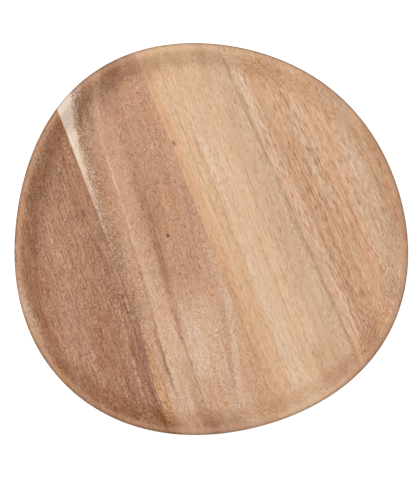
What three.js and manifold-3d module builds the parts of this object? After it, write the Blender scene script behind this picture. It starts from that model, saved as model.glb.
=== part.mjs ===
// A wooden plate: a panel of four edge-glued staves, shaped to a soft pebble outline and hollowed to a
// shallow well with a flat floor. Millimetres, +Z up, grain along +Y, staves side by side along +X.
// The origin is on the table, under the middle of the plate.

import * as THREE from "three";
import { mergeVertices, toCreasedNormals } from "three/addons/utils/BufferGeometryUtils.js";
import Module from "manifold-3d";

// Outline from above: a circle with four gentle waves round it. A swell is how far a wave's crests
// stand out from the circle, and a direction is where one crest points, in degrees from +X.
const MEAN_RADIUS = 141.3;
const OVAL_SWELL = 0.7;
const OVAL_DIRECTION = 128;
const THREE_CORNER_SWELL = 3;
const THREE_CORNER_DIRECTION = 87;
const FOUR_CORNER_SWELL = 1.4;
const FOUR_CORNER_DIRECTION = 25;
const FIVE_CORNER_SWELL = 0.5;
const FIVE_CORNER_DIRECTION = 29;

// Section through the rim, from the table up over the lip and down to the floor of the well
const UNDERCUT_RUN = 20;
const UNDERCUT_RISE = 14;
const PLATE_HEIGHT = 20;
const LIP_OUTER_ROUND = 2.5;
const LIP_WIDTH = 2.6;
const LIP_INNER_ROUND = 7;
const WALL_RUN = 18.8;
const COVE_ROUND = 13;
const FLOOR_THICKNESS = 10.5;

// Staves: the widths of the two inner ones halfway along the grain, and the places of the joints.
// The outer joints lean in towards the +Y end, in degrees, so both inner staves are narrower there.
const LEFT_CENTRE_STAVE_WIDTH = 67.7;
const RIGHT_CENTRE_STAVE_WIDTH = 62.3;
const CENTRE_JOINT_X = 1.9;
const LEFT_JOINT_LEAN = 0.75;
const RIGHT_JOINT_LEAN = 2.6;

// Glue: the thickness of a cured film, and the room left on each side of it
const GLUE_FILM = 0.2;
const GLUE_CLEARANCE = 0.05;

// How far the saw runs past the panel on every side
const SAW_OVERRUN = 10;

// Facets round the outline, and half the facets of each rounded stretch of the section
const OUTLINE_FACETS = 120;
const HALF_ARC_FACETS = 3;
const SAME_POINT = 1e-6;
const CREASE_ANGLE = THREE.MathUtils.degToRad(25);

const wasm = await Module();
wasm.setup();

// The plate's edge as a closed curve, counter-clockwise, round the centre of its waves.
class PebbleOutline extends THREE.Curve {
  waves = [
    { crests: 2, swell: OVAL_SWELL, direction: OVAL_DIRECTION },
    { crests: 3, swell: THREE_CORNER_SWELL, direction: THREE_CORNER_DIRECTION },
    { crests: 4, swell: FOUR_CORNER_SWELL, direction: FOUR_CORNER_DIRECTION },
    { crests: 5, swell: FIVE_CORNER_SWELL, direction: FIVE_CORNER_DIRECTION },
  ];

  getPoint(turn, target = new THREE.Vector2()) {
    const angle = turn * 2 * Math.PI;
    let reach = MEAN_RADIUS;
    for (const { crests, swell, direction } of this.waves) {
      reach += swell * Math.cos(crests * (angle - THREE.MathUtils.degToRad(direction)));
    }
    return target.set(reach * Math.cos(angle), reach * Math.sin(angle));
  }
}

// The rim's section as points: x is the distance in from the outline, y the height above the table.
function rimSection() {
  // The straight part of the wall has the slope that lets it touch the lip's inner round and the cove.
  const rounds = LIP_INNER_ROUND + COVE_ROUND;
  const spare = rounds - (PLATE_HEIGHT - FLOOR_THICKNESS);
  const slope = Math.asin(rounds / Math.hypot(WALL_RUN, spare)) - Math.atan2(spare, WALL_RUN);
  const floorEdge = LIP_WIDTH + WALL_RUN;
  const down = -Math.PI / 2;
  const up = Math.PI / 2;
  const outwards = Math.PI;

  const section = new THREE.Path();
  section.absellipse(UNDERCUT_RUN, UNDERCUT_RISE, UNDERCUT_RUN, UNDERCUT_RISE, down, outwards, true);
  const outerRoundHeight = PLATE_HEIGHT - LIP_OUTER_ROUND;
  section.absarc(LIP_OUTER_ROUND, outerRoundHeight, LIP_OUTER_ROUND, outwards, up, true);
  const innerRoundHeight = PLATE_HEIGHT - LIP_INNER_ROUND;
  section.absarc(LIP_WIDTH, innerRoundHeight, LIP_INNER_ROUND, up, up - slope, true);
  section.absarc(floorEdge, FLOOR_THICKNESS + COVE_ROUND, COVE_ROUND, down - slope, down, false);

  const points = section.getPoints(HALF_ARC_FACETS);
  return points.filter((point, i) => i === 0 || point.distanceTo(points[i - 1]) > SAME_POINT);
}

// Places round the outline, moved so that the plate's box is centred on the origin.
function outlineStations() {
  const outline = new PebbleOutline();
  const stations = [];
  for (let i = 0; i < OUTLINE_FACETS; i++) {
    const turn = i / OUTLINE_FACETS;
    const tangent = outline.getTangent(turn);
    stations.push({ edge: outline.getPoint(turn), inwards: new THREE.Vector2(-tangent.y, tangent.x) });
  }
  const box = new THREE.Box2().setFromPoints(stations.map((station) => station.edge));
  const middle = box.getCenter(new THREE.Vector2());
  for (const station of stations) {
    station.edge.sub(middle);
  }
  return { stations, size: box.getSize(new THREE.Vector2()) };
}

// The whole plate as one closed skin: the section carried round the outline, with a fan of triangles
// closing the base and another closing the floor of the well.
function plateGeometry(stations, section) {
  const count = stations.length;
  const positions = [];
  for (const { x: inset, y: height } of section) {
    for (const { edge, inwards } of stations) {
      positions.push(edge.x + inwards.x * inset, edge.y + inwards.y * inset, height);
    }
  }
  const baseCentre = positions.length / 3;
  positions.push(0, 0, section[0].y);
  const floorCentre = baseCentre + 1;
  positions.push(0, 0, section.at(-1).y);

  const triangles = [];
  const lastRing = (section.length - 1) * count;
  for (let i = 0; i < count; i++) {
    const next = (i + 1) % count;
    triangles.push(baseCentre, next, i);
    triangles.push(floorCentre, lastRing + i, lastRing + next);
    for (let ring = 0; ring < lastRing; ring += count) {
      const above = ring + count;
      triangles.push(ring + i, ring + next, above + next);
      triangles.push(ring + i, above + next, above + i);
    }
  }
  const geometry = new THREE.BufferGeometry();
  geometry.setAttribute("position", new THREE.Float32BufferAttribute(positions, 3));
  geometry.setIndex(triangles);
  return geometry;
}

function solidFrom(geometry) {
  const bare = geometry.clone();
  bare.deleteAttribute("normal");
  bare.deleteAttribute("uv");
  const merged = mergeVertices(bare);
  const vertProperties = merged.getAttribute("position").array;
  const triVerts = new Uint32Array(merged.index.array);
  return new wasm.Manifold(new wasm.Mesh({ numProp: 3, vertProperties, triVerts }));
}

function geometryFrom(solid) {
  const { vertProperties, triVerts } = solid.getMesh();
  const geometry = new THREE.BufferGeometry();
  geometry.setAttribute("position", new THREE.BufferAttribute(vertProperties, 3));
  geometry.setIndex(new THREE.BufferAttribute(triVerts, 1));
  return toCreasedNormals(geometry, CREASE_ANGLE);
}

// A straight saw line through the panel: where it crosses Y = 0, and how far it leans towards -X as it
// runs to +Y. Moved by a distance, it stays parallel to itself.
class SawLine {
  constructor(x, lean = 0) {
    this.x = x;
    this.lean = THREE.MathUtils.degToRad(lean);
  }

  pointAt(y) {
    return new THREE.Vector2(this.x - y * Math.tan(this.lean), y);
  }

  moved(distance) {
    return new SawLine(this.x + distance / Math.cos(this.lean), THREE.MathUtils.radToDeg(this.lean));
  }
}

// A block of the panel between two saw lines, longer and taller than the plate.
function blockBetween(left, right, panelLength) {
  const end = panelLength / 2 + SAW_OVERRUN;
  const plan = new THREE.Shape([left.pointAt(-end), right.pointAt(-end), right.pointAt(end), left.pointAt(end)]);
  const depth = PLATE_HEIGHT + 2 * SAW_OVERRUN;
  return new THREE.ExtrudeGeometry(plan, { depth, bevelEnabled: false }).translate(0, 0, -SAW_OVERRUN);
}

function woodFinish(colour) {
  return new THREE.MeshStandardMaterial({ color: colour, roughness: 0.55, metalness: 0 });
}

function glueFinish() {
  return new THREE.MeshStandardMaterial({ color: "#7d5a3c", roughness: 0.6, metalness: 0 });
}

function buildPlate() {
  const { stations, size } = outlineStations();
  const blank = solidFrom(plateGeometry(stations, rimSection()));

  const panelSide = size.x / 2 + SAW_OVERRUN;
  const leftEdge = new SawLine(-panelSide);
  const leftJoint = new SawLine(CENTRE_JOINT_X - LEFT_CENTRE_STAVE_WIDTH, -LEFT_JOINT_LEAN);
  const centreJoint = new SawLine(CENTRE_JOINT_X);
  const rightJoint = new SawLine(CENTRE_JOINT_X + RIGHT_CENTRE_STAVE_WIDTH, RIGHT_JOINT_LEAN);
  const rightEdge = new SawLine(panelSide);

  const plate = new THREE.Group();
  function addPiece(name, left, right, material) {
    const piece = blank.intersect(solidFrom(blockBetween(left, right, size.y)));
    const mesh = new THREE.Mesh(geometryFrom(piece), material);
    mesh.name = name;
    plate.add(mesh);
  }

  // Each stave stops short of its joints by half a glue film and the room beside it.
  const halfJoint = GLUE_FILM / 2 + GLUE_CLEARANCE;
  const staves = [
    ["left_stave", leftEdge, leftJoint, "#b98a68"],
    ["left_centre_stave", leftJoint, centreJoint, "#c39a78"],
    ["right_centre_stave", centreJoint, rightJoint, "#d8b48c"],
    ["right_stave", rightJoint, rightEdge, "#c89e78"],
  ];
  for (const [name, left, right, colour] of staves) {
    addPiece(name, left.moved(halfJoint), right.moved(-halfJoint), woodFinish(colour));
  }

  const glueLines = [
    ["left_glue_line", leftJoint],
    ["centre_glue_line", centreJoint],
    ["right_glue_line", rightJoint],
  ];
  for (const [name, joint] of glueLines) {
    addPiece(name, joint.moved(-GLUE_FILM / 2), joint.moved(GLUE_FILM / 2), glueFinish());
  }
  return plate;
}

export default buildPlate();
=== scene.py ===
"""The looks of a wooden plate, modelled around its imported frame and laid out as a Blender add-on.

Four staves and the three glue films between them take the place of the frame's plain solids. A stage with
a pale floor, soft light and a camera straight above shows them. Metres, +Z up, grain along +Y, staves side
by side along +X, origin on the table under the middle of the plate.
"""

import math
from dataclasses import dataclass

import bmesh
import bpy
from bpy.props import FloatProperty, FloatVectorProperty, PointerProperty
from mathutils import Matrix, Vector


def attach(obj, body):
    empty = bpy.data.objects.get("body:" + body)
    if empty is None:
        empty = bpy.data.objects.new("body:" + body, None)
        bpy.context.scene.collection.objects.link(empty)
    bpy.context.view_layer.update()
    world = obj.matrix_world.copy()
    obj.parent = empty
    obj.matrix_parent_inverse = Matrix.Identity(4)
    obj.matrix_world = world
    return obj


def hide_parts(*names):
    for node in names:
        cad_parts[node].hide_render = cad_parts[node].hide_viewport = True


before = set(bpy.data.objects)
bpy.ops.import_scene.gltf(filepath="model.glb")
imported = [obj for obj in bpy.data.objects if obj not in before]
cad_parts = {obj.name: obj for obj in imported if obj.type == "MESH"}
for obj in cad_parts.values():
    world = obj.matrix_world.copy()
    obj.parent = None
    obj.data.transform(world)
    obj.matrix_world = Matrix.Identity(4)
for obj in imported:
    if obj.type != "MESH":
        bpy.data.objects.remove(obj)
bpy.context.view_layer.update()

bl_info = {
    "name": "Wooden Plate",
    "version": (1, 0, 0),
    "blender": (4, 5, 0),
    "location": "3D View > Sidebar > Plate",
    "description": "Models a plate of edge-glued staves with a pebble outline and a shallow well",
    "category": "Add Mesh",
}

MM = 0.001
BODY = "root"

# How finely the pieces are modelled: points round the outline and round the knot's pit, and rings on each
# stretch of the rim's section
OUTLINE_POINTS = 240
KNOT_POINTS = 20
OUTER_ROUND_RINGS = 8
INNER_ROUND_RINGS = 8
COVE_RINGS = 12
UNDERCUT_RINGS = 14

# How wide the flat rings of the floor and the base are that close the section, how near two points count as
# one, and up to which angle faces are shaded smooth
FLAT_MARGIN = 1.5 * MM
SAME_POINT = 0.01 * MM
SMOOTH_ANGLE = math.radians(35)

# How much the knot's pit narrows from the floor of the well to its bottom, as a share of its radius
KNOT_TAPER = 0.75

# The polished lip: how far down it reaches, how much of its own colour it takes and of its figure it loses.
# Its painted shade on the outer edge fades in within a share of the outer round's radius below and above the
# foot of that round.
POLISHED_DEPTH = 0.6 * MM
LIP_TINT = 0.45
LIP_SMOOTHING = 0.65
EDGE_SHADE_FADE = 0.2

# Noise in the wood: the size of its swings in millimetres across, along and deep
SWAY_SIZE = (40, 130, 40)
RAGGED_SIZE = (2, 7, 2)
PATCH_SIZE = (4, 25, 4)
SPOT_EDGE_SIZE = (0.7, 1.1, 0.7)

# How far the edges of streaks are ragged in millimetres, and those of spots as a share of their radius
RAGGED_REACH = 2.0
SPOT_EDGE_REACH = 0.5

# Figure: how strongly it swings, and how wide and long its marks are in millimetres. The lengths of broad
# figure and of tinted bands are multiplied by the stretch.
FIGURE_SWING = 2.5
FINE_WIDTH = 0.85
MEDIUM_WIDTH = 1.3
BROAD_WIDTH = 6.0
BROAD_LENGTH = 12.0
LINE_WIDTH = 1.5
LINE_LENGTH = 60.0
TINT_WIDTH = 4.0
TINT_LENGTH = 16.0

# Dark figure is stronger than light: a share of its square, less a level, is added to it. Fine figure comes
# in patches, with a little of it between them.
DARK_SKEW = 0.55
SKEW_LEVEL = 0.25
FINE_PATCH_WIDTH = 5.0
FINE_PATCHINESS = 0.7
LEAST_FINE = 0.2

# Where smooth steps begin and end: patches in streaks, edges of spots and pores, end grain, the painted shade
# on the lip's edge
PATCH_STEP = (0.35, 0.6)
SPOT_STEP = (0.45, 1.15)
PORE_STEP = (0.18, 0.42)
END_GRAIN_STEP = (0.1, 0.75)
EDGE_SHADE_STEP = (0.56, 0.84)

# Speckle shows where noise passes a threshold, which falls as the density rises. Pores lie scattered, and
# there are more of them in speckled streaks, up to a limit.
SPECKLE_THRESHOLD = 0.72
SPECKLE_FALL = 0.4
SPECKLE_SOFTNESS = 0.12
SPECKLE_ROUGHNESS = 0.6
PORE_SCATTER = 0.9
PORE_LIMIT = 1.6

# How much figure and end grain darken the wood, how rough wood and glue are, and how deep the relief is
FIGURE_SHADE = 0.5
END_GRAIN_SHADE = 0.04
WOOD_ROUGHNESS = 0.52
MEDIUM_ROUGHNESS = 0.03
PORE_ROUGHNESS = 0.15
GLUE_ROUGHNESS = 0.45
DUST_ROUGHNESS = 0.15
FINE_RELIEF = 0.25
RELIEF_STRENGTH = 0.35
PORE_DEPTH = 0.08 * MM

# Light: the strength of the white room, and the width in metres and the power in watts of the two lamps.
# The side lamp lies to the left, partly up the image, and as far out as it is high.
ROOM_LIGHT = 0.45
OVERHEAD_WIDTH = 1.2
OVERHEAD_POWER = 9.3
SIDE_WIDTH = 0.9
SIDE_POWER = 6.0
SIDE_UP = 0.5
SIDE_SHARE = 0.75

# The floor is matt, glows a little, and has faint clouds
FLOOR_ROUGHNESS = 0.9
FLOOR_SHINE = 0.1
FLOOR_GLOW = 0.6
CLOUD_SHADE = 0.985
CLOUDS_PER_METRE = 6

# How far the camera sees, in distances to the plate
CLIP_REACH = 4


# Properties: the sizes and colours that a user would change


def length(label, description, millimetres):
    """A length property with its default in millimetres."""
    default = millimetres * MM
    return FloatProperty(name=label, description=description, default=default, unit="LENGTH", precision=5)


def angle(label, description, degrees):
    """An angle property with its default in degrees."""
    default = math.radians(degrees)
    return FloatProperty(name=label, description=description, default=default, subtype="ANGLE")


def linear(shown):
    """A share of 255, as a colour picker shows it, turned into a share of light."""
    share = shown / 255
    if share <= 0.04045:
        return share / 12.92
    return ((share + 0.055) / 1.055) ** 2.4


def colour(label, description, red, green, blue):
    """A colour property with its default as a colour picker shows it, from 0 to 255."""
    default = (linear(red), linear(green), linear(blue))
    return FloatVectorProperty(
        name=label, description=description, default=default, subtype="COLOR", size=3, min=0, max=1
    )


class OutlineSizes(bpy.types.PropertyGroup):
    """Outline from above: a circle with four gentle waves round it"""

    mean_radius: length("Mean radius", "Radius of the circle that the waves run round", 141.25)
    oval_swell: length("Oval swell", "How far the oval's ends stand out from the circle", 0.7)
    oval_direction: angle("Oval direction", "Where one end of the oval points, from +X", 128)
    three_corner_swell: length("Three-corner swell", "How far the three soft corners stand out", 3)
    three_corner_direction: angle("Three-corner direction", "Where one of the three corners points", 87)
    four_corner_swell: length("Four-corner swell", "How far the four soft corners stand out", 1.4)
    four_corner_direction: angle("Four-corner direction", "Where one of the four corners points", 25)
    five_corner_swell: length("Five-corner swell", "How far the five soft corners stand out", 0.5)
    five_corner_direction: angle("Five-corner direction", "Where one of the five corners points", 29)


class RimSizes(bpy.types.PropertyGroup):
    """Section through the rim, from the table up over the lip and down to the floor of the well"""

    undercut_run: length("Undercut run", "How far the rounded underside runs in from the outline", 20)
    undercut_rise: length("Undercut rise", "How high the rounded underside rises to the outline", 14)
    plate_height: length("Plate height", "From the table to the top of the lip", 20)
    lip_outer_round: length("Outer round", "Radius of the lip's outer edge", 2.5)
    lip_width: length("Lip width", "From the outline to where the lip turns down into the well", 2.6)
    lip_inner_round: length("Inner round", "Radius of the lip's inner edge", 7)
    wall_run: length("Wall run", "From the lip's turn to the floor of the well", 18.8)
    cove_round: length("Cove round", "Radius of the cove between the wall and the floor", 13)
    floor_thickness: length("Floor thickness", "From the table to the floor of the well", 10.5)


class JointSizes(bpy.types.PropertyGroup):
    """Glued joints: where they cross the middle of the grain, and how far the outer ones lean in"""

    left_joint: length("Left joint", "X of the left joint halfway along the grain", -65.8)
    left_lean: angle("Left lean", "How far the left joint leans in towards +Y", 0.75)
    centre_joint: length("Centre joint", "X of the centre joint", 1.9)
    right_joint: length("Right joint", "X of the right joint halfway along the grain", 64.2)
    right_lean: angle("Right lean", "How far the right joint leans in towards +Y", 2.6)
    film: length("Glue film", "Thickness of a cured glue film", 0.2)
    clearance: length("Clearance", "Room on each side of a glue film", 0.01)


class KnotSizes(bpy.types.PropertyGroup):
    """Pin knot in the left centre stave"""

    across: length("Knot across", "X of the pin knot", -24.5)
    along: length("Knot along", "Y of the pin knot", 10.5)
    radius: length("Knot radius", "Radius of the knot's pit at the floor of the well", 0.9)
    depth: length("Knot depth", "How deep the pit goes", 0.45)
    stain: length("Knot stain", "Radius of the dark wood in and round the pit", 1.5)


class WoodColours(bpy.types.PropertyGroup):
    """Colours of the wood's bands and streaks, of its pores and knot, and of the glue"""

    # Umber also paints shade on the lip's outer edge
    umber: colour("Umber", "Darkest streaks, speckles and the lip's edge", 125, 74, 43)
    # Grey brown is partly greyer wood and partly painted shade: it darkens patches on and near the walls of
    # the well
    shaded_grey_brown: colour("Grey brown", "Greyish patches on and near the walls", 150, 114, 90)
    red_brown: colour("Red brown", "Red-brown streaks and thin lines", 162, 109, 77)
    rose_brown: colour("Rose brown", "Ground of the left stave", 169, 116, 81)
    tan_brown: colour("Tan brown", "Ground of the left centre stave, and soft lines", 190, 140, 106)
    fawn: colour("Fawn", "Lighter brown of the two left staves", 202, 156, 122)
    golden_brown: colour("Golden brown", "Darker bands of the right stave, and the left lip", 204, 157, 117)
    honey: colour("Honey", "Smooth streaks of the two left staves", 193, 144, 109)
    copper: colour("Copper", "Polished lip of the right stave", 186, 136, 101)
    olive_tan: colour("Olive tan", "Lines beside the right joint", 183, 142, 102)
    ochre: colour("Ochre", "Yellow streak beside the left joint", 215, 163, 110)
    orange_tan: colour("Orange tan", "Lighter bands of the right stave, and warm edges", 214, 167, 130)
    pink_tan: colour("Pink tan", "Pinkish light wood of the two centre staves", 213, 171, 137)
    light_honey: colour("Light honey", "Pale ground of the right centre stave, and streaks", 220, 179, 141)
    beige: colour("Beige", "Greyish pale bands", 211, 172, 138)
    cream: colour("Cream", "Sapwood and the palest streaks", 226, 199, 175)
    ivory: colour("Ivory", "Palest sapwood", 240, 218, 196)
    pore: colour("Pore", "Open pores", 92, 56, 36)
    knot: colour("Knot", "Pin knot", 82, 44, 20)
    glue: colour("Glue", "Cured glue film", 184, 138, 104)


class StageSettings(bpy.types.PropertyGroup):
    """Floor, light and camera"""

    floor_reach: length("Floor reach", "Half the width of the pale floor", 3000)
    floor_gap: length("Floor gap", "Room under the plate, which keeps its base off the floor", 0.05)
    light_distance: length("Light distance", "From the plate to the lamps", 1500)
    view_height: length("View height", "Height of the part of the table that the image shows", 342)
    view_distance: length("View distance", "From the lip to the camera", 3000)
    view_across: length("View across", "X of the point in the middle of the image", 2.66)
    view_along: length("View along", "Y of the point in the middle of the image", -3.3)
    view_turn: angle("View turn", "How far the image is turned from the grain", -21.7)
    floor_colour: colour("Floor", "Pale floor", 250, 250, 249)


# Looks of the wood. Places are in millimetres in the plate's frame. A lean is in millimetres across the
# grain for each 100 mm along it, and a bow adds to the lean for each further 100 mm.

# Places past the foot and past the top of every stave, where a streak runs off over the rim
FOOT = -160
TOP = 160


@dataclass(frozen=True)
class Band:
    """The ground colour of a stave at one place across the grain."""

    across: float
    colour: str


@dataclass(frozen=True)
class Streak:
    """A streak of another colour along the grain. Its middle line crosses Y = 0 at across.

    Soft is how wide its left and right edges fade, and taper is how much wider it gets in 100 mm. Ends are
    where it begins and stops along the grain, and fade is how long it takes to do so. Strength is that of its
    tint, speckled is how much closer the dark speckles lie in it, and patchy is how much it breaks up.
    """

    colour: str
    across: float
    width: float
    lean: float = 0.0
    bow: float = 0.0
    taper: float = 0.0
    soft: tuple = (2, 2)
    ends: tuple = (FOOT, TOP)
    fade: float = 30.0
    strength: float = 1.0
    speckled: float = 0.0
    patchy: float = 0.5


@dataclass(frozen=True)
class Spot:
    """A small dark spot, longer along the grain than across it."""

    colour: str
    across: float
    along: float
    radius: float
    stretch: float
    strength: float


@dataclass(frozen=True)
class Grain:
    """How the fibres run: their lean, how the growth rings tilt, and how far they sway."""

    lean: float
    ring_tilt: float
    sway: float


@dataclass(frozen=True)
class Figure:
    """Lighter and darker figure at three sizes, long lines, paler and richer bands, and how long they are."""

    fine: float
    medium: float
    broad: float
    lines: float
    tint: float
    fine_stretch: float
    stretch: float


@dataclass(frozen=True)
class Dashes:
    """Short dark dashes along the fibres: how close they lie, how dark they are, and their size."""

    density: float
    strength: float
    width: float
    length: float


@dataclass(frozen=True)
class StaveLook:
    """One stave: its node, grain, polished lip's colour, painted shade on its lip's edge, and all else that
    colours it.

    The lip streaks are the ones that run on over the polished lip.
    """

    node: str
    grain: Grain
    lip: str
    # How strongly shade is painted on the lip's outer edge: more on the staves away from the side lamp
    edge: float
    bands: tuple
    streaks: tuple
    lip_streaks: tuple
    figure: Figure
    speckle: Dashes
    pores: Dashes
    spots: tuple = ()
    has_knot: bool = False


LEFT_STREAKS = (
    # Broad tones of the floor
    Streak("honey", -101, 16, lean=5, soft=(12, 12), ends=(-15, 65), strength=0.5),
    Streak("fawn", -106, 24, lean=6, soft=(14, 16), ends=(-75, 0), strength=0.2),
    Streak("red_brown", -90, 18, lean=9, soft=(10, 8), ends=(FOOT, -40), strength=0.35),
    Streak(
        "red_brown", -73, 14, lean=2, soft=(8, 4), ends=(-60, TOP), strength=0.2, speckled=0.1, patchy=1
    ),
    # Thin lines along the floor
    Streak("tan_brown", -84.8, 2.4, lean=4, soft=(1.6, 1.6), ends=(-5, 70), strength=0.4, patchy=0.7),
    Streak("umber", -80.2, 2.4, lean=4, soft=(1.6, 1.6), ends=(-5, 60), strength=0.16),
    Streak("red_brown", -92, 5, lean=4, soft=(3, 3), ends=(-5, 55), strength=0.4),
    Streak("umber", -78.2, 2, lean=7, soft=(1.4, 1.4), ends=(-75, 0), strength=0.25),
    Streak("umber", -66.6, 1.6, lean=1.3, soft=(1, 0.6), ends=(-30, 60), strength=0.4),
    # Left wall: the first and third streaks are painted shade along the wall, which faces away from the side
    # lamp
    Streak("umber", -125.2, 2.2, lean=17, bow=8, soft=(3, 2), ends=(-45, 45), strength=0.1, speckled=0.1),
    Streak("fawn", -131, 16, bow=36, soft=(6, 5), ends=(-50, 60), strength=0.28, speckled=0.1),
    Streak("umber", -121, 6, lean=8, soft=(4, 4), ends=(5, 45), strength=0.28),
    Streak("umber", -113, 9, lean=6, soft=(6, 6), ends=(15, TOP), strength=0, speckled=0.15),
    # Top wall, and lighter patches of the left wall
    # Greyer wood and painted shade on the top wall
    Streak("shaded_grey_brown", -92, 38, soft=(10, 10), ends=(68, TOP), strength=0.4),
    Streak("umber", -69, 10, soft=(5, 3), ends=(82, TOP), fade=16, strength=0.2),
    Streak("umber", -99, 12, soft=(6, 6), ends=(52, 78), fade=16, strength=0.2),
    Streak("fawn", -111, 8, soft=(5, 5), ends=(42, 64), fade=16, strength=0.25),
    Streak("fawn", -122, 8, soft=(5, 5), ends=(-64, -36), fade=16, strength=0.25),
    # Beside the left joint: dark lines, and a yellow streak at the foot
    Streak("red_brown", -75, 9.5, soft=(4, 4), ends=(-126, -55), strength=0.95),
    Streak("umber", -71, 11, lean=7, soft=(5, 4), ends=(FOOT, -45), fade=40, strength=0.05, speckled=0.3),
    Streak("umber", -67.6, 1.6, lean=8.5, soft=(1.6, 1.2), ends=(FOOT, -62), strength=0.6, patchy=0.4),
    Streak("umber", -72.5, 1.6, lean=7, soft=(1.2, 1.2), ends=(FOOT, -40), strength=0.5, patchy=1),
    Streak("umber", -68.2, 1.6, lean=2, soft=(1.2, 1.2), ends=(-40, 82), strength=0.3, patchy=1),
    Streak("umber", -72.6, 1.8, lean=-2.5, soft=(1.2, 1.2), ends=(-65, 60), strength=0.4, patchy=1),
    Streak(
        "ochre", -60.2, 8, lean=9, soft=(2.5, 2), ends=(-110, -62), fade=50, strength=0.95, patchy=0.3
    ),
    Streak("fawn", -74.2, 1.8, lean=9.5, soft=(1.2, 1.2), ends=(-98, -26), strength=0.7, patchy=0.3),
)

LEFT_LIP_STREAKS = (
    # Painted highlight: the first two streaks lighten the far left of the lip, where the side lamp falls on
    # it
    Streak("orange_tan", -138, 8, soft=(6, 4), ends=(-34, 24), strength=0.25),
    Streak("cream", -139, 5, soft=(4, 3), ends=(-16, 12), strength=0.4),
    Streak("umber", -72, 12, soft=(6, 2), ends=(FOOT, -112), fade=12, strength=0.35),
    Streak("umber", -124, 14, soft=(8, 8), ends=(-85, -50), strength=0.23),
    Streak("umber", -102, 54, soft=(8, 14), ends=(FOOT, -84), fade=24, strength=0.2),
    Streak("umber", -102, 54, soft=(8, 14), ends=(FOOT, -74), fade=24, strength=0.2, patchy=1),
)

LEFT_STAVE = StaveLook(
    node="left_stave",
    grain=Grain(lean=6, ring_tilt=0.2, sway=2.5),
    lip="golden_brown",
    edge=0.0,
    bands=(
        Band(-141, "rose_brown"),
        Band(-62, "rose_brown"),
    ),
    streaks=LEFT_STREAKS,
    lip_streaks=LEFT_LIP_STREAKS,
    figure=Figure(fine=0.2, medium=0.13, broad=0.06, lines=0.07, tint=0.08, fine_stretch=2, stretch=8),
    speckle=Dashes(density=0.3, strength=0.55, width=1.2, length=2.8),
    pores=Dashes(density=0.3, strength=0.5, width=0.85, length=3.2),
)

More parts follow.
